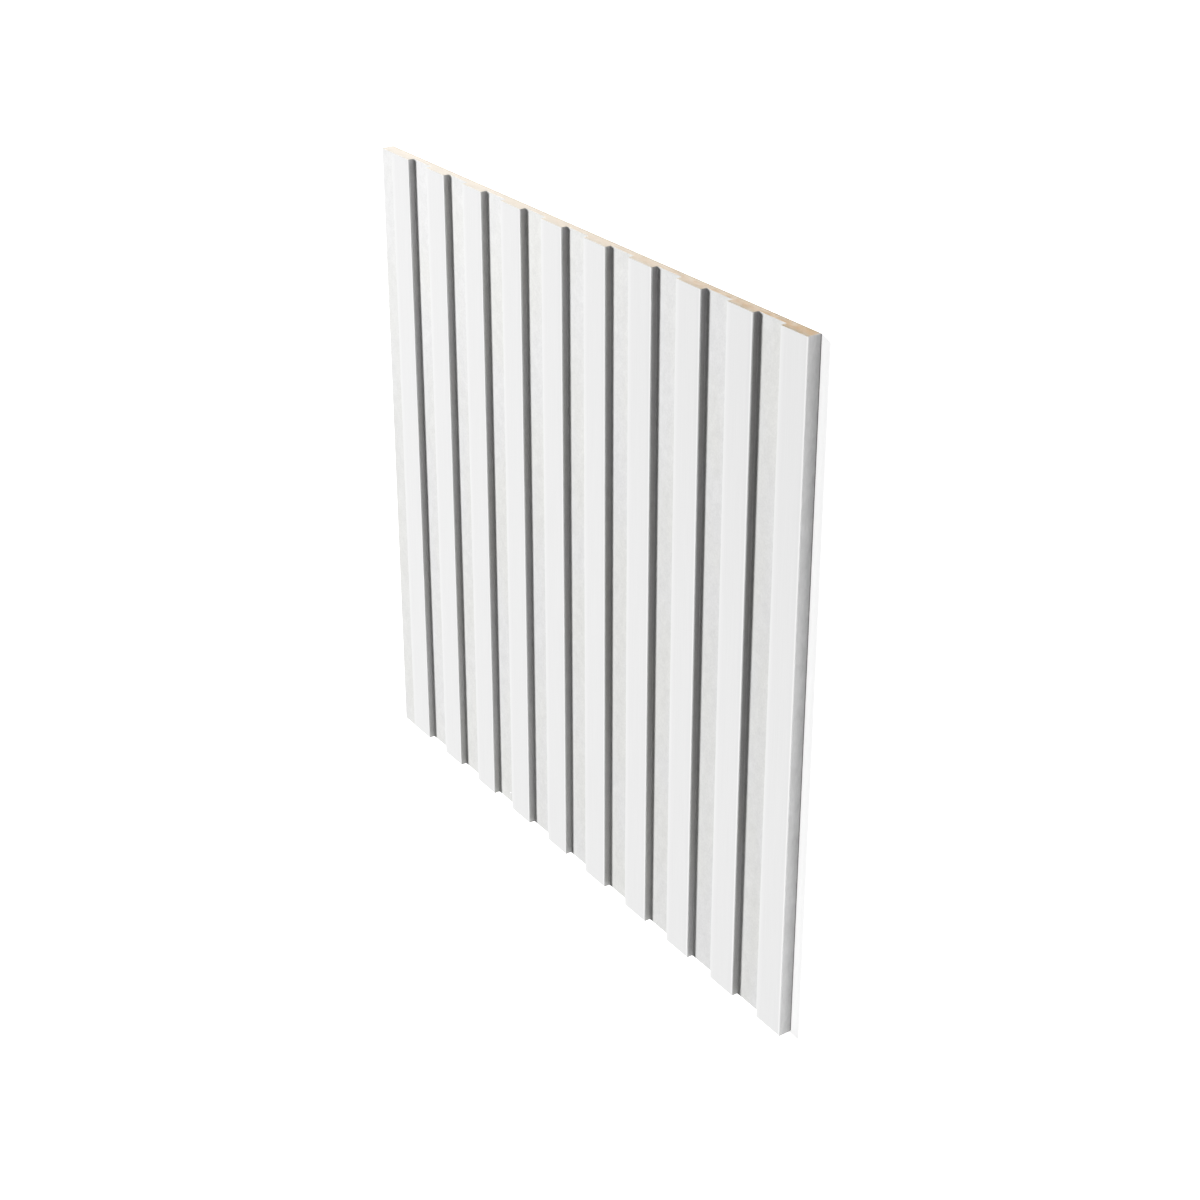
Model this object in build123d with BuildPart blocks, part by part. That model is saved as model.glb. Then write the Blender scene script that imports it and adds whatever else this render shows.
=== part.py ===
from build123d import *
import os

# Slatted MDF wall panel: one board, with flat slats left standing between square milled grooves.
# The board lies face up. X runs across the slats, Y runs along them and Z points out of the face.
# The origin is in the middle of the back, which is the face that is glued to a wall.

# Board
panel_length = 600.0
board_thickness = 12.0

# Slats and grooves, counted from the plain margin at the left edge
slat_count = 10
slat_width = 30.0
groove_width = 31.3
groove_depth = 5.5
margin_width = 18.3

# The cutter also skims the margin, just enough to take the sanded surface off
margin_skim = 0.3

# Edges: slats are eased by sanding, the cutter leaves a small cove, and the back is barely broken
slat_arris_radius = 0.5
groove_cove_radius = 1.0
back_arris_radius = 0.4

slat_pitch = slat_width + groove_width
groove_count = slat_count - 1
panel_width = margin_width + slat_count * slat_width + groove_count * groove_width
left_edge = -panel_width / 2

# Middles of the first groove and of the skimmed margin, across the board
first_groove = left_edge + margin_width + slat_width + groove_width / 2
margin_middle = left_edge + margin_width / 2

os.makedirs("parts", exist_ok=True)

with BuildPart() as grooved_panel:
    # The section is drawn on the plane square to the slats: sketch X is across, sketch Y is up
    with BuildSketch(Plane.XZ):
        # The sheet as it comes, sawn to width
        Rectangle(panel_width, board_thickness, align=(Align.CENTER, Align.MIN))

        # One groove for each gap between slats, all cut from the face to the same depth
        groove_centres = [(first_groove + n * slat_pitch, board_thickness) for n in range(groove_count)]
        with Locations(*groove_centres):
            Rectangle(groove_width, groove_depth, align=(Align.CENTER, Align.MAX), mode=Mode.SUBTRACT)

        # The margin is skimmed from the edge up to the first slat
        with Locations((margin_middle, board_thickness)):
            Rectangle(margin_width, margin_skim, align=(Align.CENTER, Align.MAX), mode=Mode.SUBTRACT)

        # Corner heights, from the back up: back, groove floors, skimmed margin, slat faces
        back, floors, margin, faces = vertices().group_by(Axis.Y)

        # The first slat's left corner is a step too low to ease, so only the others are rounded
        slat_corners = faces.sort_by(Axis.X)[1:]
        margin_corner = margin.sort_by(Axis.X)[:1]
        fillet(slat_corners + margin_corner, slat_arris_radius)
        fillet(floors, groove_cove_radius)
        fillet(back, back_arris_radius)

    # The cutter runs off both ends, so the section is the same from end to end
    extrude(amount=panel_length / 2, both=True)

grooved_panel.part.label = "grooved_panel"
export_step(grooved_panel.part, "parts/grooved_panel.step")
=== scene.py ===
# Slatted MDF wall panel, lying face up: X runs across the slats, Y along them, Z out of the face.
import math

import bpy
import numpy as np
from mathutils import Matrix, Vector


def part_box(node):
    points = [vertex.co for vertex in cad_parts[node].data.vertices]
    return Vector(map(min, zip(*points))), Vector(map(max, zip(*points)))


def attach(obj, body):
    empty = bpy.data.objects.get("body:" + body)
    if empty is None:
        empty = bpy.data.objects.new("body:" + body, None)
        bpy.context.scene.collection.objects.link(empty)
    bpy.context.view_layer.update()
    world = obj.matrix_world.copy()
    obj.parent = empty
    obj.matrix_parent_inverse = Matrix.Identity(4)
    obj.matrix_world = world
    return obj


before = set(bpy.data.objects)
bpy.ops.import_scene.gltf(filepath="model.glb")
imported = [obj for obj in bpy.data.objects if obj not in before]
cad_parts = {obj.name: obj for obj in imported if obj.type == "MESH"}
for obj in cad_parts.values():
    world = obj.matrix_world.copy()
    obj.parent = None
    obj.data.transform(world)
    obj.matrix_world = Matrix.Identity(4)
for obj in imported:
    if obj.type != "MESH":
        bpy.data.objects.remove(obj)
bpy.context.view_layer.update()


# The board: one sheet of MDF, 12 mm thick, with the grooves milled out of its face. It shows raw at
# its two sawn ends. Its back has the thin balancing coat that keeps a primed board flat.
mm = 0.001
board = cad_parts["grooved_panel"]
half_width, half_length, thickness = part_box("grooved_panel")[1]
packed_depth = 4 * mm
rub_depth = 5 * mm
back_coat = 0.05 * mm


def linear(hex_colour):
    """An sRGB hex colour as linear RGBA: a channel c up to 0.04045 turns into c / 12.92, and a
    higher one into ((c + 0.055) / 1.055) ** 2.4."""
    channels = [int(hex_colour[i:i + 2], 16) / 255 for i in (1, 3, 5)]
    return [c / 12.92 if c <= 0.04045 else ((c + 0.055) / 1.055) ** 2.4 for c in channels] + [1.0]


def usable(sockets, name=0):
    """Of the sockets that the node's present mode uses, the first one that has this name, or the
    one at this number."""
    in_use = [socket for socket in sockets if socket.enabled]
    return in_use[name] if isinstance(name, int) else next(s for s in in_use if s.name == name)


def add_node(tree, kind, settings=None, links=None):
    """Adds a shader node. Settings are its properties and input values, where a hex colour turns
    linear. Links say which node, by its first output, or which output feeds an input."""
    node = tree.nodes.new(kind)
    for name, value in (settings or {}).items():
        if isinstance(name, str) and hasattr(node, name):
            setattr(node, name, value)
        else:
            is_colour = isinstance(value, str)
            usable(node.inputs, name).default_value = linear(value) if is_colour else value
    for name, source in (links or {}).items():
        output = usable(source.outputs) if isinstance(source, bpy.types.Node) else source
        tree.links.new(output, usable(node.inputs, name))
    return node


def new_material(name):
    """A node material with nothing in it, its tree, and the object coordinates that its patterns
    read."""
    material = bpy.data.materials.new(name)
    material.use_nodes = True
    material.node_tree.nodes.clear()
    place = add_node(material.node_tree, "ShaderNodeTexCoord").outputs["Object"]
    return material, material.node_tree, place


def lumps(x, y, z):
    """The mapping at which a noise of scale 1 has lumps that measure x, y and z millimetres."""
    return {"Scale": (1 / (x * mm), 1 / (y * mm), 1 / (z * mm))}


def raw_mdf():
    """Raw MDF, sawn across. The fibres lie flat, so an end shows them as short pale streaks, tan in
    the core and tighter and greyer near both faces where the press packed them, with dark bark
    flecks and upright saw lines. Puffs of primer that drifted over the face have settled on it."""
    material, tree, place = new_material("raw_mdf")
    axes = add_node(tree, "ShaderNodeSeparateXYZ", links={"Vector": place})
    up = axes.outputs["Z"]

    # Fibre bundles are 1 to 3 mm long and 0.1 mm thick: drawn 0.25 mm thick so that they show
    spread = add_node(tree, "ShaderNodeMapping", lumps(1.6, 1.6, 0.25), {"Vector": place})
    grain = {"Scale": 1.0, "Detail": 4.0, "Roughness": 0.7, "Distortion": 0.3}
    fibres = add_node(tree, "ShaderNodeTexNoise", grain, {"Vector": spread})
    dense = {"data_type": "RGBA", "A": "#B6A893", "B": "#D8CEB8"}
    packed = add_node(tree, "ShaderNodeMix", dense, {"Factor": fibres})
    open_fibre = {"data_type": "RGBA", "A": "#BFA485", "B": "#E4D0B6"}
    loose = add_node(tree, "ShaderNodeMix", open_fibre, {"Factor": fibres})

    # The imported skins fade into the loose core
    middle = {"operation": "SUBTRACT", 1: thickness / 2}
    from_middle = add_node(tree, "ShaderNodeMath", middle, {0: up})
    off_middle = add_node(tree, "ShaderNodeMath", {"operation": "ABSOLUTE"}, {0: from_middle})
    reach = {"From Min": thickness / 2, "From Max": thickness / 2 - packed_depth}
    core = add_node(tree, "ShaderNodeMapRange", reach, {"Value": off_middle})
    depths = {"Factor": core, "A": packed, "B": loose}
    layered = add_node(tree, "ShaderNodeMix", {"data_type": "RGBA"}, depths)

    # The saw came in at the face, and rubbed the fibre nearest to it a little darker
    entry = {"From Min": thickness - rub_depth, "From Max": thickness}
    near_face = add_node(tree, "ShaderNodeMapRange", entry, {"Value": up})
    rubbed = {"data_type": "RGBA", "blend_type": "MULTIPLY", "B": "#F0F0F0"}
    worn = add_node(tree, "ShaderNodeMix", rubbed, {"Factor": near_face, "A": layered})

    # Clumps of fibre, 7 mm long, took up more of the resin and are amber
    clumps = add_node(tree, "ShaderNodeMapping", lumps(7, 7, 4), {"Vector": place})
    uptake = add_node(tree, "ShaderNodeTexNoise", {"Scale": 1.0, "Detail": 1.0}, {"Vector": clumps})
    rich = {"From Min": 0.4, "From Max": 0.6, "To Max": 0.7}
    resin = add_node(tree, "ShaderNodeMapRange", rich, {"Value": uptake})
    amber = {"data_type": "RGBA", "blend_type": "MULTIPLY", "B": "#FFF1DA"}
    fibre = add_node(tree, "ShaderNodeMix", amber, {"Factor": resin, "A": worn})

    # Bark flecks, 0.5 to 1 mm long
    strewn = add_node(tree, "ShaderNodeMapping", lumps(0.9, 0.9, 0.35), {"Vector": place})
    specks = add_node(tree, "ShaderNodeTexNoise", {"Scale": 1.0, "Detail": 1.0}, {"Vector": strewn})
    few = {"From Min": 0.68, "From Max": 0.76, "To Max": 0.5}
    bark = add_node(tree, "ShaderNodeMapRange", few, {"Value": specks})
    brown = {"data_type": "RGBA", "B": "#7A5A3C"}
    flecked = add_node(tree, "ShaderNodeMix", brown, {"Factor": bark, "A": fibre})

    # Primer drifted over the ends from the left: they are cream there and bare tan at the right,
    # with the bare share growing as the square of the way across, and uneven in puffs of 10 mm
    width = {"From Min": -half_width, "From Max": half_width}
    across = add_node(tree, "ShaderNodeMapRange", width, {"Value": axes.outputs["X"]})
    drift = add_node(tree, "ShaderNodeMath", {"operation": "MULTIPLY"}, {0: across, 1: across})
    gusts = add_node(tree, "ShaderNodeMapping", lumps(10, 10, 5), {"Vector": place})
    puffs = add_node(tree, "ShaderNodeTexNoise", {"Scale": 1.0, "Detail": 2.0}, {"Vector": gusts})
    uneven = {"From Min": 0.3, "From Max": 0.7, "To Min": 0.7, "To Max": 1.3}
    patchy = add_node(tree, "ShaderNodeMapRange", uneven, {"Value": puffs})
    share = {"operation": "MULTIPLY", "use_clamp": True}
    bare_and_shaded = add_node(tree, "ShaderNodeMath", share, {0: drift, 1: patchy})
    cream = {"data_type": "RGBA", "A": "#F2EADE"}
    dusted = add_node(tree, "ShaderNodeMix", cream, {"Factor": bare_and_shaded, "B": flecked})

    # Painted contact shade: the last 2.5 mm before the back, where the end meets the floor, are
    # darker
    back_shade_reach = {"From Min": 2.6 * mm, "From Max": 0.3 * mm}
    near_back = add_node(tree, "ShaderNodeMapRange", back_shade_reach, {"Value": up})
    back_shade_tint = {"data_type": "RGBA", "blend_type": "MULTIPLY", "B": "#EDE9E7"}
    back_shaded = add_node(tree, "ShaderNodeMix", back_shade_tint, {"Factor": near_back, "A": dusted})

    # The wet coat of the long edges crept about 1 mm round onto the ends
    off_centre = add_node(tree, "ShaderNodeMath", {"operation": "ABSOLUTE"}, {0: axes.outputs["X"]})
    lap = {"From Min": half_width - 1.5 * mm, "From Max": half_width - 0.7 * mm, "To Max": 0.8}
    crept = add_node(tree, "ShaderNodeMapRange", lap, {"Value": off_centre})
    edge_coat = {"data_type": "RGBA", "B": "#D0D0D0"}
    end = add_node(tree, "ShaderNodeMix", edge_coat, {"Factor": crept, "A": back_shaded})

    # The balancing coat is the very lowest part, thin enough for the fibre to ghost through it
    cloud = add_node(tree, "ShaderNodeMapping", lumps(3, 3, 3), {"Vector": place})
    ghosts = add_node(tree, "ShaderNodeTexNoise", {"Scale": 1.0, "Detail": 5.0}, {"Vector": cloud})
    thin_coat = {"data_type": "RGBA", "A": "#ECEBE8", "B": "#DAD6CD"}
    coat_colour = add_node(tree, "ShaderNodeMix", thin_coat, {"Factor": ghosts})
    back = {"From Min": back_coat, "From Max": back_coat * 0.8}
    on_back = add_node(tree, "ShaderNodeMapRange", back, {"Value": up})
    sides = {"Factor": on_back, "A": end, "B": coat_colour}
    colour = add_node(tree, "ShaderNodeMix", {"data_type": "RGBA"}, sides)

    # The saw leaves upright lines, 0.05 mm deep and about 0.6 mm apart
    teeth = add_node(tree, "ShaderNodeMapping", lumps(0.6, 0.6, 15), {"Vector": place})
    cuts = add_node(tree, "ShaderNodeTexNoise", {"Scale": 1.0, "Detail": 1.0}, {"Vector": teeth})
    weak_cuts = {"operation": "MULTIPLY_ADD", 1: 0.5}
    relief = add_node(tree, "ShaderNodeMath", weak_cuts, {0: cuts, 2: fibres})
    bump = add_node(tree, "ShaderNodeBump", {"Distance": 0.1 * mm}, {"Height": relief})
    surface = {"Base Color": colour, "Normal": bump}
    shader = add_node(tree, "ShaderNodeBsdfPrincipled", {"Roughness": 0.85}, surface)
    add_node(tree, "ShaderNodeOutputMaterial", links={"Surface": shader})
    return material


board.data.materials[0] = raw_mdf()


# The primer on the slats: white water-based primer, sprayed on the face and sanded once it is dry.
# It is one thin coat on each slat, rolled over both arrises and cut off square at the board's ends.
slat_count = 10
slat_width = 30 * mm
groove_width = 31.3 * mm
margin_width = 18.3 * mm
margin_skim = 0.3 * mm
arris_radius = 0.5 * mm
step_radius = 0.1 * mm
film = 0.12 * mm
film_bite = 0.05 * mm
crease_angle = 40
slat_stations = 61
slat_lefts = -half_width + margin_width + (slat_width + groove_width) * np.arange(slat_count)
margin_height = thickness - margin_skim


def line(start, end, step):
    """Section points from start to end, about a step apart, with the normal on the left of the way
    taken."""
    start, end = np.array(start), np.array(end)
    length = np.linalg.norm(end - start)
    along = np.linspace(0, 1, max(2, round(length / step) + 1))[:, None]
    normal = np.array([start[1] - end[1], end[0] - start[0]]) / length
    return start + along * (end - start), np.broadcast_to(normal, (len(along), 2))


def corner(centre, radius, first, last, steps=4):
    """Section points on a round corner between two angles in degrees. Where the radius is negative,
    the corner is a hollow one and its normal points to the centre."""
    turn = np.radians(np.linspace(first, last, steps + 1))
    outward = np.stack([np.cos(turn), np.sin(turn)], axis=1)
    return np.array(centre) + abs(radius) * outward, math.copysign(1, radius) * outward


def join(*stretches):
    """One section from stretches that meet end to start, with each shared point kept once."""
    points = [stretches[0][0]] + [stretch[0][1:] for stretch in stretches[1:]]
    normals = [stretches[0][1]] + [stretch[1][1:] for stretch in stretches[1:]]
    return np.concatenate(points), np.concatenate(normals)


def waves(x, y, shortest, longest, seed, count=40):
    """A smooth uneven surface of unit spread: the sum of plane waves with random directions and
    phases, and with wavelengths between the shortest and the longest."""
    rng = np.random.default_rng(seed)
    turn = rng.uniform(0, 2 * np.pi, count)
    number = 2 * np.pi / np.exp(rng.uniform(np.log(shortest), np.log(longest), count))
    phase = rng.uniform(0, 2 * np.pi, count)
    across = np.multiply.outer(x, number * np.cos(turn))
    along = np.multiply.outer(y, number * np.sin(turn))
    return np.cos(across + along + phase).sum(axis=-1) / math.sqrt(count / 2)


def coat(name, sections, stations, relief, material):
    """A closed coat of primer over each section, drawn out along the slats. Its outer skin is the
    section moved out along its normal by film + relief(x, y, run), and its inner skin is the
    section moved in by the bite. Both are joined along the sides and at the ends. An end is ragged:
    it stops short of the cut by about 0.6 of the film."""
    vertices, faces, first = [], [], 0
    for number, (points, normals) in enumerate(sections):
        run = np.concatenate([[0], np.cumsum(np.linalg.norm(np.diff(points, axis=0), axis=1))])
        ragged = waves(run, 0 * run, 0.4 * mm, 3 * mm, seed=number + 1)
        short = film * np.abs(0.6 + 0.4 * ragged)
        y = np.linspace(-1, 1, stations) * (half_length - short)[:, None]
        x = points[:, :1] + 0 * y
        lift = film + relief(x, y, run[:, None] / run[-1] + 0 * y)
        outer = points[:, None] + normals[:, None] * lift[..., None]
        inner = points[:, None] - normals[:, None] * film_bite + 0 * outer
        ring = np.concatenate([outer, inner[::-1]])
        ring_y = np.concatenate([y, y[::-1]])
        vertices.append(np.stack([ring[..., 0], ring_y, ring[..., 1]], axis=-1).reshape(-1, 3))

        # Point r of the ring at station j is vertex r * stations + j. A face goes round the ring
        # first and then along the board, which turns it outwards
        here = np.arange(len(ring))[:, None] * stations
        there = np.roll(here, -1, axis=0)
        j = np.arange(stations - 1)
        skin = np.stack([here + j, there + j, there + j + 1, here + j + 1], axis=-1)
        i = np.arange(len(points) - 1)
        low_end = np.stack([i, len(ring) - 1 - i, len(ring) - 2 - i, i + 1], axis=-1) * stations
        high_end = low_end[:, ::-1] + stations - 1
        faces.append(np.concatenate([skin.reshape(-1, 4), low_end, high_end]) + first)
        first += ring_y.size
    mesh = bpy.data.meshes.new(name)
    mesh.from_pydata(np.concatenate(vertices), [], np.concatenate(faces).tolist())
    mesh.shade_smooth()
    mesh.set_sharp_from_angle(angle=math.radians(crease_angle))
    mesh.materials.append(material)
    piece = bpy.data.objects.new(name, mesh)
    bpy.context.scene.collection.objects.link(piece)
    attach(piece, "root")


def painted_falloff(tree, place, colour, right_side):
    """Painted shade over the whole face, for light that falls off away from the upper left: the
    colour goes greyer in step with the way across, by the tint of the right side, and again near
    the upper right corner. Gives the greyed colour and the way across, from 0 at the left to 1 at
    the right."""
    corner_shade_reach = 430 * mm
    axes = add_node(tree, "ShaderNodeSeparateXYZ", links={"Vector": place})
    width = {"From Min": -half_width, "From Max": half_width}
    across = add_node(tree, "ShaderNodeMapRange", width, {"Value": axes.outputs["X"]})
    rightward_shade = {"data_type": "RGBA", "blend_type": "MULTIPLY", "B": right_side}
    shaded_across = add_node(tree, "ShaderNodeMix", rightward_shade, {"Factor": across, "A": colour})
    upper_right = {"operation": "DISTANCE", 1: (half_width, half_length, thickness)}
    away = add_node(tree, "ShaderNodeVectorMath", upper_right, {0: place}).outputs["Value"]
    corner_falloff = {"interpolation_type": "SMOOTHSTEP",
              "From Max": corner_shade_reach, "To Min": 1.0, "To Max": 0.0}
    corner_shade = add_node(tree, "ShaderNodeMapRange", corner_falloff, {"Value": away})
    corner_shade_tint = {"data_type": "RGBA", "blend_type": "MULTIPLY", "B": "#FAFAFA"}
    return add_node(tree, "ShaderNodeMix", corner_shade_tint, {"Factor": corner_shade, "A": shaded_across}), across


def sanded_primer():
    """White primer, sprayed and sanded: an even dead matt white that hardly changes along a slat,
    with the gun's faint orange peel and fine sanding scratches that run lengthwise. Its skin is
    chalky and open, so its sheen is wide and weak."""
    material, tree, place = new_material("sanded_primer")

    # Grit 240 scratches are under 0.05 mm wide: drawn 0.8 mm wide so that they show at all
    stroke = add_node(tree, "ShaderNodeMapping", lumps(0.8, 60, 0.8), {"Vector": place})
    fine = {"Scale": 1.0, "Detail": 3.0}
    scratches = add_node(tree, "ShaderNodeTexNoise", fine, {"Vector": stroke})
    white = {"data_type": "RGBA", "A": "#EBEBEB", "B": "#F2F2F2"}
    even = add_node(tree, "ShaderNodeMix", white, {"Factor": scratches})

    # A painted highlight: the last 1 to 2 mm before each right arris are mixed towards pure white,
    # for the bright line along the arris
    x = add_node(tree, "ShaderNodeSeparateXYZ", links={"Vector": place}).outputs["X"]
    first_right = slat_lefts[0] + slat_width
    short_of = add_node(tree, "ShaderNodeMath", {"operation": "SUBTRACT", 0: first_right}, {1: x})
    repeat = {"operation": "FLOORED_MODULO", 1: slat_width + groove_width}
    to_arris = add_node(tree, "ShaderNodeMath", repeat, {0: short_of})
    arris_highlight_reach = {"From Min": 2.2 * mm, "From Max": 1.2 * mm}
    arris_highlight_band = add_node(tree, "ShaderNodeMapRange", arris_highlight_reach, {"Value": to_arris})
    arris_highlight_tint = {"data_type": "RGBA", "B": "#FFFFFF"}
    arris_highlighted = add_node(tree, "ShaderNodeMix", arris_highlight_tint, {"Factor": arris_highlight_band, "A": even})
    # Painted shade: greyer towards the right and near the upper right corner
    colour, _ = painted_falloff(tree, place, arris_highlighted, "#FEFEFE")
    scuffed = {"From Min": 0.3, "From Max": 0.7, "To Min": 0.7, "To Max": 0.82}
    roughness = add_node(tree, "ShaderNodeMapRange", scuffed, {"Value": scratches})

    # Orange peel: lumps of 2 mm, under 0.01 mm high
    dimple = add_node(tree, "ShaderNodeMapping", lumps(2, 2, 2), {"Vector": place})
    peel = add_node(tree, "ShaderNodeTexNoise", {"Scale": 1.0, "Detail": 1.0}, {"Vector": dimple})
    both = {"operation": "MULTIPLY_ADD", 1: 0.5}
    relief = add_node(tree, "ShaderNodeMath", both, {0: scratches, 2: peel})
    bump = add_node(tree, "ShaderNodeBump", {"Distance": 0.008 * mm}, {"Height": relief})
    surface = {"Base Color": colour, "Roughness": roughness, "Normal": bump}
    chalky = {"IOR": 1.5, "Specular IOR Level": 0.25}
    shader = add_node(tree, "ShaderNodeBsdfPrincipled", chalky, surface)
    add_node(tree, "ShaderNodeOutputMaterial", links={"Surface": shader})
    return material


def slat_section(left):
    """A slat's face between its two arrises. The first slat has only the low step to the margin at
    its left."""
    right = left + slat_width
    right_arris = corner((right - arris_radius, thickness - arris_radius), arris_radius, 90, 0)
    if left == slat_lefts[0]:
        riser = line((left, margin_height), (left, thickness - step_radius), step=step_radius)
        riser_edge = corner((left + step_radius, thickness - step_radius), step_radius, 180, 90)
        face = line((left + step_radius, thickness), (right - arris_radius, thickness), step=5 * mm)
        return join(riser, riser_edge, face, right_arris)
    left_arris = corner((left + arris_radius, thickness - arris_radius), arris_radius, 180, 90)
    face = line((left + arris_radius, thickness), (right - arris_radius, thickness), step=5 * mm)
    return join(left_arris, face, right_arris)


def slat_relief(x, y, run):
    """Sanding leaves a slat flat to 0.01 mm, in long low waves."""
    return 0.005 * mm * waves(x, y, 25 * mm, 90 * mm, seed=11)


slat_sections = [slat_section(left) for left in slat_lefts]
coat("slat_primer", slat_sections, slat_stations, slat_relief, sanded_primer())


# The primer in the grooves: the same primer on milled fibre, which swells as it dries. Nobody sands
# down there, so the floors keep a fine nap and a greyer tone than the slats, as does the margin.
groove_depth = 5.5 * mm
cove_radius = 1.0 * mm
floor_height = thickness - groove_depth
milled_stations = 301


def milled_primer():
    """White primer on milled MDF, unsanded: a dull paper-like white over raised fibre, in slow
    patches that go from neutral to slightly warm, with the faint cross ripple that the turning
    cutter leaves."""
    material, tree, place = new_material("milled_primer")

    # The nap is single fibres, 0.1 mm wide: drawn 1.2 mm wide so that it shows
    fibre_ends = add_node(tree, "ShaderNodeMapping", lumps(1.2, 1.6, 1.2), {"Vector": place})
    raised = {"Scale": 1.0, "Detail": 3.0, "Roughness": 0.6}
    nap = add_node(tree, "ShaderNodeTexNoise", raised, {"Vector": fibre_ends})
    swelling = add_node(tree, "ShaderNodeMapping", lumps(8, 12, 8), {"Vector": place})
    swollen = {"Scale": 1.0, "Detail": 4.0, "Roughness": 0.6, "Distortion": 0.5}
    mottle = add_node(tree, "ShaderNodeTexNoise", swollen, {"Vector": swelling})
    both = {"operation": "MULTIPLY_ADD", 1: 1.2}
    tone = add_node(tree, "ShaderNodeMath", both, {0: nap, 2: mottle})
    contrast = {"From Min": 0.7, "From Max": 1.5}
    shade = add_node(tree, "ShaderNodeMapRange", contrast, {"Value": tone})
    grey = {"data_type": "RGBA", "A": "#E6E6E6", "B": "#F6F6F6"}
    plain = add_node(tree, "ShaderNodeMix", grey, {"Factor": shade})

    # Warm patches, 40 to 120 mm long, where the fibre shows through more
    areas = add_node(tree, "ShaderNodeMapping", lumps(45, 110, 45), {"Vector": place})
    patches = add_node(tree, "ShaderNodeTexNoise", {"Scale": 1.0, "Detail": 2.0}, {"Vector": areas})
    faint = {"From Min": 0.4, "From Max": 0.6, "To Max": 0.6}
    warmth = add_node(tree, "ShaderNodeMapRange", faint, {"Value": patches})
    warm = {"data_type": "RGBA", "blend_type": "MULTIPLY", "B": "#FEFEFA"}
    tinted = add_node(tree, "ShaderNodeMix", warm, {"Factor": warmth, "A": plain})

    # A painted pool of light: the coat is whitest at the upper left and greyer further away. The
    # way across counts for only a fifth, so the whole upper end is pale
    across_share = 0.2
    light_pool_reach = 330 * mm
    flattened = {"Scale": (across_share, 1.0, 0.0)}
    squeezed = add_node(tree, "ShaderNodeMapping", flattened, {"Vector": place})
    upper_left = {"operation": "DISTANCE", 1: (-across_share * half_width, half_length, 0.0)}
    away = add_node(tree, "ShaderNodeVectorMath", upper_left, {0: squeezed}).outputs["Value"]
    light_pool_edge = {"interpolation_type": "SMOOTHSTEP", "From Max": light_pool_reach}
    outside_light_pool = add_node(tree, "ShaderNodeMapRange", light_pool_edge, {"Value": away})
    even = {"data_type": "RGBA", "blend_type": "MULTIPLY", "B": "#F6F6F6"}
    light_pooled = add_node(tree, "ShaderNodeMix", even, {"Factor": outside_light_pool, "A": tinted})
    # Painted shade: greyer towards the right and near the upper right corner
    shaded_coat, across = painted_falloff(tree, place, light_pooled, "#F6F6F6")

    # Painted shade: the walls are greyer than the floor, most of all at the right. Towards the
    # lower end this painted shade is weaker, which stands in for light from the lower right
    lower_light_top = 250 * mm - half_length
    axes = add_node(tree, "ShaderNodeSeparateXYZ", links={"Vector": place})
    wall_middle = (thickness - arris_radius + floor_height) / 2
    above = {"operation": "SUBTRACT", 1: wall_middle}
    from_middle = add_node(tree, "ShaderNodeMath", above, {0: axes.outputs["Z"]})
    off_middle = add_node(tree, "ShaderNodeMath", {"operation": "ABSOLUTE"}, {0: from_middle})
    wall_reach = {"From Min": wall_middle - floor_height - 2 * film, "From Max": 1.5 * mm}
    on_wall = add_node(tree, "ShaderNodeMapRange", wall_reach, {"Value": off_middle})
    lower_end_light = {"interpolation_type": "SMOOTHSTEP", "From Min": lower_light_top,
               "From Max": -half_length, "To Min": 1.0, "To Max": 0.4}
    away_from_lower_end = add_node(tree, "ShaderNodeMapRange", lower_end_light, {"Value": axes.outputs["Y"]})
    half_to_full = {"operation": "MULTIPLY_ADD", 1: 0.5, 2: 0.5}
    rightward_wall_shade = add_node(tree, "ShaderNodeMath", half_to_full, {0: across})
    bare_and_shaded = add_node(tree, "ShaderNodeMath", {"operation": "MULTIPLY"}, {0: rightward_wall_shade, 1: away_from_lower_end})
    wall_shade = add_node(tree, "ShaderNodeMath", {"operation": "MULTIPLY"}, {0: on_wall, 1: bare_and_shaded})
    wall_shade_tint = {"data_type": "RGBA", "blend_type": "MULTIPLY", "B": "#C3C3C3"}
    colour = add_node(tree, "ShaderNodeMix", wall_shade_tint, {"Factor": wall_shade, "A": shaded_coat})

    # One ripple for each knife mark, 1.5 mm apart at the feed of a moulder
    knife = add_node(tree, "ShaderNodeMapping", lumps(25, 1.5, 25), {"Vector": place})
    ripple = add_node(tree, "ShaderNodeTexNoise", {"Scale": 1.0, "Detail": 1.0}, {"Vector": knife})
    weak_ripple = {"operation": "MULTIPLY_ADD", 1: 0.4}
    relief = add_node(tree, "ShaderNodeMath", weak_ripple, {0: ripple, 2: tone})
    bump = add_node(tree, "ShaderNodeBump", {"Distance": 0.05 * mm}, {"Height": relief})
    dull = {"To Min": 0.65, "To Max": 0.9}
    roughness = add_node(tree, "ShaderNodeMapRange", dull, {"Value": nap})
    surface = {"Base Color": colour, "Roughness": roughness, "Normal": bump}
    shader = add_node(tree, "ShaderNodeBsdfPrincipled", {"IOR": 1.5}, surface)
    add_node(tree, "ShaderNodeOutputMaterial", links={"Surface": shader})
    return material


def groove_section(left):
    """A groove from arris to arris: down one wall, round the cove, over the floor, round the other
    cove and up the other wall."""
    right = left + groove_width
    top = thickness - arris_radius
    foot = floor_height + cove_radius
    down = line((left, top), (left, foot), step=1.2 * mm)
    left_cove = corner((left + cove_radius, foot), -cove_radius, 180, 270)
    left_end, right_end = (left + cove_radius, floor_height), (right - cove_radius, floor_height)
    floor = line(left_end, right_end, step=1 * mm)
    right_cove = corner((right - cove_radius, foot), -cove_radius, 270, 360)
    up = line((right, foot), (right, top), step=1.2 * mm)
    return join(down, left_cove, floor, right_cove, up)


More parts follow.
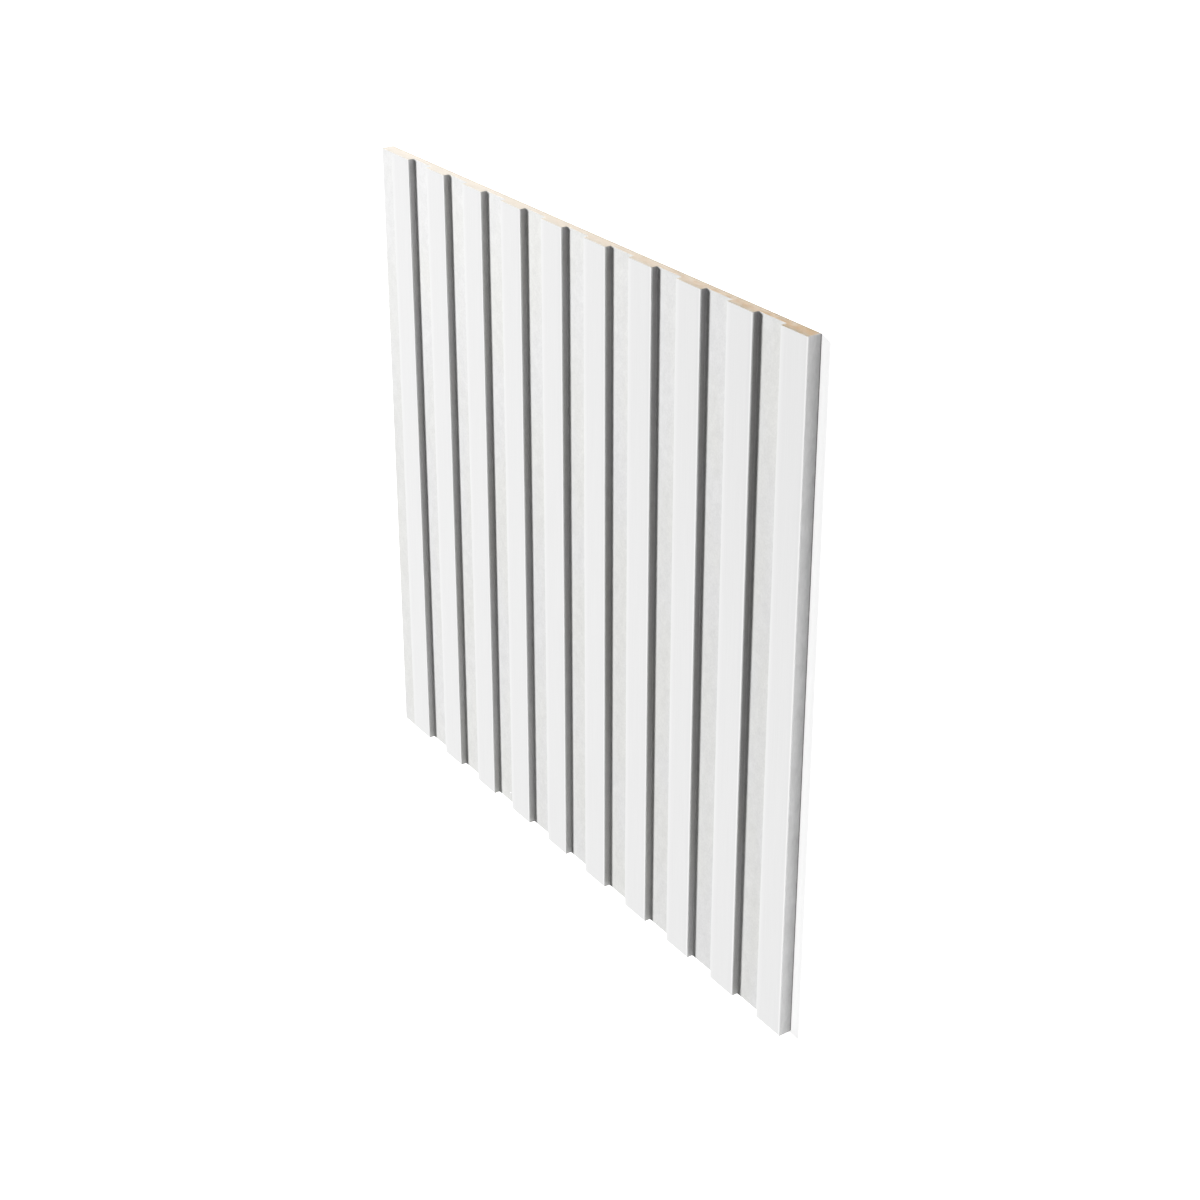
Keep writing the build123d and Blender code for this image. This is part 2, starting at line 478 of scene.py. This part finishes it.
def fade(run):
    """1 over most of a section, and falling straight to 0 over the eighth of it at either side."""
    return np.clip(8 * run, 0, 1) * np.clip(8 * (1 - run), 0, 1)


def milled_relief(x, y, run):
    """Swollen fibre: lumps 4 to 14 mm across and 0.03 mm high, dying away at both sides."""
    return 0.014 * mm * fade(run) * waves(x, y, 4 * mm, 14 * mm, seed=23)


groove_finish = milled_primer()
for number, left in enumerate(slat_lefts[:-1] + slat_width, start=1):
    section = groove_section(left)
    coat(f"groove_primer_{number}", [section], milled_stations, milled_relief, groove_finish)

margin_left = -half_width + arris_radius
margin_arris = corner((margin_left, margin_height - arris_radius), arris_radius, 180, 90)
margin_face = line((margin_left, margin_height), (slat_lefts[0], margin_height), step=1 * mm)
margin_section = join(margin_arris, margin_face)
coat("margin_primer", [margin_section], milled_stations, milled_relief, groove_finish)


# The long edges: sawn, then sealed with primer that soaks into the open fibre of the board's core.
# The gun works from the face, and the coat wraps round its small arris at the back by 48 degrees.
# Its colour is painted darker towards the back: painted shade.
back_arris_radius = 0.4 * mm
wrap_angle = 48
edge_stations = 201


def edge_primer():
    """Primer soaked into a sawn MDF edge: a cloudy grey-white with streaks along the board where
    its layers of fibre drank more, and painted shade that darkens it towards the back."""
    material, tree, place = new_material("edge_primer")
    blotches = add_node(tree, "ShaderNodeMapping", lumps(9, 14, 6), {"Vector": place})
    soaked = {"Scale": 1.0, "Detail": 4.0, "Roughness": 0.6, "Distortion": 0.4}
    clouds = add_node(tree, "ShaderNodeTexNoise", soaked, {"Vector": blotches})
    strata = add_node(tree, "ShaderNodeMapping", lumps(0.7, 7, 0.7), {"Vector": place})
    layers = add_node(tree, "ShaderNodeTexNoise", {"Scale": 1.0, "Detail": 3.0}, {"Vector": strata})
    both = {"operation": "MULTIPLY_ADD", 1: 0.5}
    tone = add_node(tree, "ShaderNodeMath", both, {0: layers, 2: clouds})
    contrast = {"From Min": 0.45, "From Max": 1.05}
    shade = add_node(tree, "ShaderNodeMapRange", contrast, {"Value": tone})

    # Painted shade: the colour near the face goes over to a darker one near the back
    face_side_tone = {"data_type": "RGBA", "A": "#C8C8C8", "B": "#D8D8D8"}
    near_face = add_node(tree, "ShaderNodeMix", face_side_tone, {"Factor": shade})
    back_shaded_tone = {"data_type": "RGBA", "A": "#AAAAAA", "B": "#C6C6C6"}
    near_back = add_node(tree, "ShaderNodeMix", back_shaded_tone, {"Factor": shade})
    up = add_node(tree, "ShaderNodeSeparateXYZ", links={"Vector": place}).outputs["Z"]
    height = {"From Min": 0.5 * mm, "From Max": thickness - 2 * mm}
    toward_face = add_node(tree, "ShaderNodeMapRange", height, {"Value": up})
    sides = {"Factor": toward_face, "A": near_back, "B": near_face}
    shaded_by_height = add_node(tree, "ShaderNodeMix", {"data_type": "RGBA"}, sides)

    # Painted contact shade: the last millimetre before the back, where the edge meets the floor, is
    # painted a dull dark grey
    edge_contact_reach = {"From Min": 1.2 * mm, "From Max": 0.6 * mm}
    edge_contact_shade = add_node(tree, "ShaderNodeMapRange", edge_contact_reach, {"Value": up})
    edge_contact_tint = {"data_type": "RGBA", "blend_type": "MULTIPLY", "B": "#9A9A9A"}
    colour = add_node(tree, "ShaderNodeMix", edge_contact_tint, {"Factor": edge_contact_shade, "A": shaded_by_height})
    bump = add_node(tree, "ShaderNodeBump", {"Distance": 0.08 * mm}, {"Height": tone})
    dull = {"Roughness": 0.75, "IOR": 1.5}
    surface = {"Base Color": colour, "Normal": bump}
    shader = add_node(tree, "ShaderNodeBsdfPrincipled", dull, surface)
    add_node(tree, "ShaderNodeOutputMaterial", links={"Surface": shader})
    return material


def edge_relief(x, y, run):
    """The saw leaves the edge true to 0.02 mm, in lumps 8 to 30 mm long."""
    return 0.01 * mm * fade(run) * waves(x, y, 8 * mm, 30 * mm, seed=31)


inset = half_width - back_arris_radius
right_top = (half_width, thickness - arris_radius)
right_side = line(right_top, (half_width, back_arris_radius), step=1.2 * mm)
right_wrap = corner((inset, back_arris_radius), back_arris_radius, 0, -wrap_angle)
left_wrap = corner((-inset, back_arris_radius), back_arris_radius, 180 + wrap_angle, 180)
left_top = (-half_width, margin_height - arris_radius)
left_side = line((-half_width, back_arris_radius), left_top, step=1.2 * mm)
edge_finish = edge_primer()
right_section, left_section = join(right_side, right_wrap), join(left_wrap, left_side)
coat("right_edge_primer", [right_section], edge_stations, edge_relief, edge_finish)
coat("left_edge_primer", [left_section], edge_stations, edge_relief, edge_finish)


# The nib: one bead of primer that ran together and dried on the floor of the third groove, near the
# lower end. It is thick enough to be pure white, and a little glossier than the coat round it.
nib_x, nib_y = -108.5 * mm, -291.0 * mm
nib_width, nib_height = 3.0 * mm, 0.5 * mm
nib_stretch, nib_slant = 0.15, 0.8
nib_rings, nib_sides = 7, 20


def thick_primer():
    """Primer dried in a bead: bare white with a soft satin gloss, and fine wrinkles where its skin
    shrank."""
    material, tree, place = new_material("thick_primer")
    wrinkle = add_node(tree, "ShaderNodeMapping", lumps(0.5, 0.5, 0.5), {"Vector": place})
    skin = add_node(tree, "ShaderNodeTexNoise", {"Scale": 1.0, "Detail": 2.0}, {"Vector": wrinkle})
    bright = {"data_type": "RGBA", "A": "#F6F6F6", "B": "#FFFFFF"}
    colour = add_node(tree, "ShaderNodeMix", bright, {"Factor": skin})
    bump = add_node(tree, "ShaderNodeBump", {"Distance": 0.03 * mm}, {"Height": skin})
    satin = {"Roughness": 0.4, "IOR": 1.5}
    surface = {"Base Color": colour, "Normal": bump}
    shader = add_node(tree, "ShaderNodeBsdfPrincipled", satin, surface)
    add_node(tree, "ShaderNodeOutputMaterial", links={"Surface": shader})
    return material


# The bead is an ellipsoid, stretched a little on one slant, with its lower half sunk in the coat:
# rings at even angles of rise, each as wide as the cosine of its rise, and a point at either pole
rise = np.linspace(-np.pi / 2, np.pi / 2, nib_rings + 2)[1:-1, None]
turn = np.arange(nib_sides) * 2 * np.pi / nib_sides
girth = nib_width / 2 * np.cos(rise) * (1 + nib_stretch * np.cos(2 * turn - nib_slant))
ring_x = nib_x + girth * np.cos(turn)
ring_y = nib_y + girth * np.sin(turn)
ring_z = floor_height + nib_height * np.sin(rise) + 0 * girth
rings = np.stack([ring_x, ring_y, ring_z], axis=-1).reshape(-1, 3)
poles = [(nib_x, nib_y, floor_height - nib_height), (nib_x, nib_y, floor_height + nib_height)]
here = np.arange(nib_sides)
there = np.roll(here, -1)
level = np.arange(nib_rings - 1)[:, None] * nib_sides
next_level = level + nib_sides
belts = np.stack([level + here, level + there, next_level + there, next_level + here], axis=-1)
last = (nib_rings - 1) * nib_sides
bottom = np.stack([there, here, 0 * here + last + nib_sides], axis=-1)
top = np.stack([last + here, last + there, 0 * here + last + nib_sides + 1], axis=-1)
nib_faces = belts.reshape(-1, 4).tolist() + bottom.tolist() + top.tolist()
nib_mesh = bpy.data.meshes.new("primer_nib")
nib_mesh.from_pydata(np.concatenate([rings, poles]), [], nib_faces)
nib_mesh.shade_smooth()
nib_mesh.materials.append(thick_primer())
nib = bpy.data.objects.new("primer_nib", nib_mesh)
bpy.context.scene.collection.objects.link(nib)
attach(nib, "root")


# The studio: a large soft lamp far up at the left, a weak one to fill from the lower right, and two
# low strips that reach the right edge and the upper end but skim over the grooves. All is plain
# white, and the panel lies on a wide white floor.
def studio_lamp(name, place, aim, width, height, power):
    """An area lamp, its size in metres and its power in watts, turned to its aim and not seen
    itself."""
    lamp = bpy.data.objects.new(name, bpy.data.lights.new(name, "AREA"))
    lamp.data.shape = "RECTANGLE"
    lamp.data.size, lamp.data.size_y = width, height
    lamp.data.energy = power
    facing = (Vector(aim) - Vector(place)).to_track_quat("-Z", "Y")
    lamp.matrix_world = Matrix.Translation(place) @ facing.to_matrix().to_4x4()
    lamp.visible_camera = False
    bpy.context.scene.collection.objects.link(lamp)


studio_lamp("key_lamp", (-10.2, 3.6, 11.8), (0, 0, 0), width=3.6, height=3.6, power=3155)
studio_lamp("fill_lamp", (1.1, -1.1, 0.3), (0, -0.2, 0), width=0.5, height=0.3, power=2.4)
studio_lamp("edge_lamp", (1.7, -0.2, 0.03), (0.3, -0.1, 0.01), width=1.0, height=0.04, power=9.0)
studio_lamp("end_lamp", (-0.6, 2.2, 0.05), (0, 0.3, 0.01), width=1.2, height=0.08, power=11.5)

# Only the camera sees the white backdrop: the panel gets the dimmer ambient light
ambient = 0.08
world = bpy.data.worlds.new("studio")
world.use_nodes = True
sky = world.node_tree
sky.nodes.clear()
seen = add_node(sky, "ShaderNodeLightPath").outputs["Is Camera Ray"]
strength = add_node(sky, "ShaderNodeMapRange", {"To Min": ambient, "To Max": 1.0}, {"Value": seen})
light = add_node(sky, "ShaderNodeBackground", {"Color": "#FFFFFF"}, {"Strength": strength})
add_node(sky, "ShaderNodeOutputWorld", links={"Surface": light})
bpy.context.scene.world = world
bpy.context.scene.view_settings.view_transform = "Standard"

# The floor: a white disc, lifted to full white for the camera alone, so that it keeps the shadow
floor_radius = 30.0
floor_sides = 64
floor_gap = 0.3 * mm
camera_lift = 0.75
turn = np.radians(np.arange(floor_sides) * 360 / floor_sides)
rim_x, rim_y = floor_radius * np.cos(turn), floor_radius * np.sin(turn)
rim = np.stack([rim_x, rim_y, 0 * turn - floor_gap], axis=1)
floor_mesh = bpy.data.meshes.new("floor")
floor_mesh.from_pydata(rim, [], [list(range(floor_sides))])
floor = bpy.data.objects.new("floor", floor_mesh)
bpy.context.scene.collection.objects.link(floor)
floor_paint, tree, _ = new_material("floor_paint")
paint = add_node(tree, "ShaderNodeBsdfDiffuse", {"Color": "#EDEDED"})
seen = add_node(tree, "ShaderNodeLightPath").outputs["Is Camera Ray"]
lift = add_node(tree, "ShaderNodeMapRange", {"To Max": camera_lift}, {"Value": seen})
glow = add_node(tree, "ShaderNodeEmission", {"Color": "#FFFFFF"}, {"Strength": lift})
lit = add_node(tree, "ShaderNodeAddShader", links={0: paint, 1: glow})
add_node(tree, "ShaderNodeOutputMaterial", links={"Surface": lit})
floor_mesh.materials.append(floor_paint)

# The camera looks down on the lying panel from beyond its far right corner, with the slats upright
# in the picture. A short shift keeps them nearly parallel, as they are in the photograph.
camera_place = Vector((1.3065, 0.7965, 0.8899))
camera_aim = Vector((0.0479, 0.1508, 0.012))
camera_lens = 61.5
camera_shift = -0.15
camera = bpy.data.objects.new("camera", bpy.data.cameras.new("camera"))
camera.data.lens = camera_lens
camera.data.shift_y = camera_shift
backward = (camera_place - camera_aim).normalized()
rightward = Vector((0, 1, 0)).cross(backward).normalized()
upward = backward.cross(rightward)
facing = Matrix((rightward, upward, backward)).transposed().to_4x4()
camera.matrix_world = Matrix.Translation(camera_place) @ facing
bpy.context.scene.collection.objects.link(camera)
bpy.context.scene.camera = camera
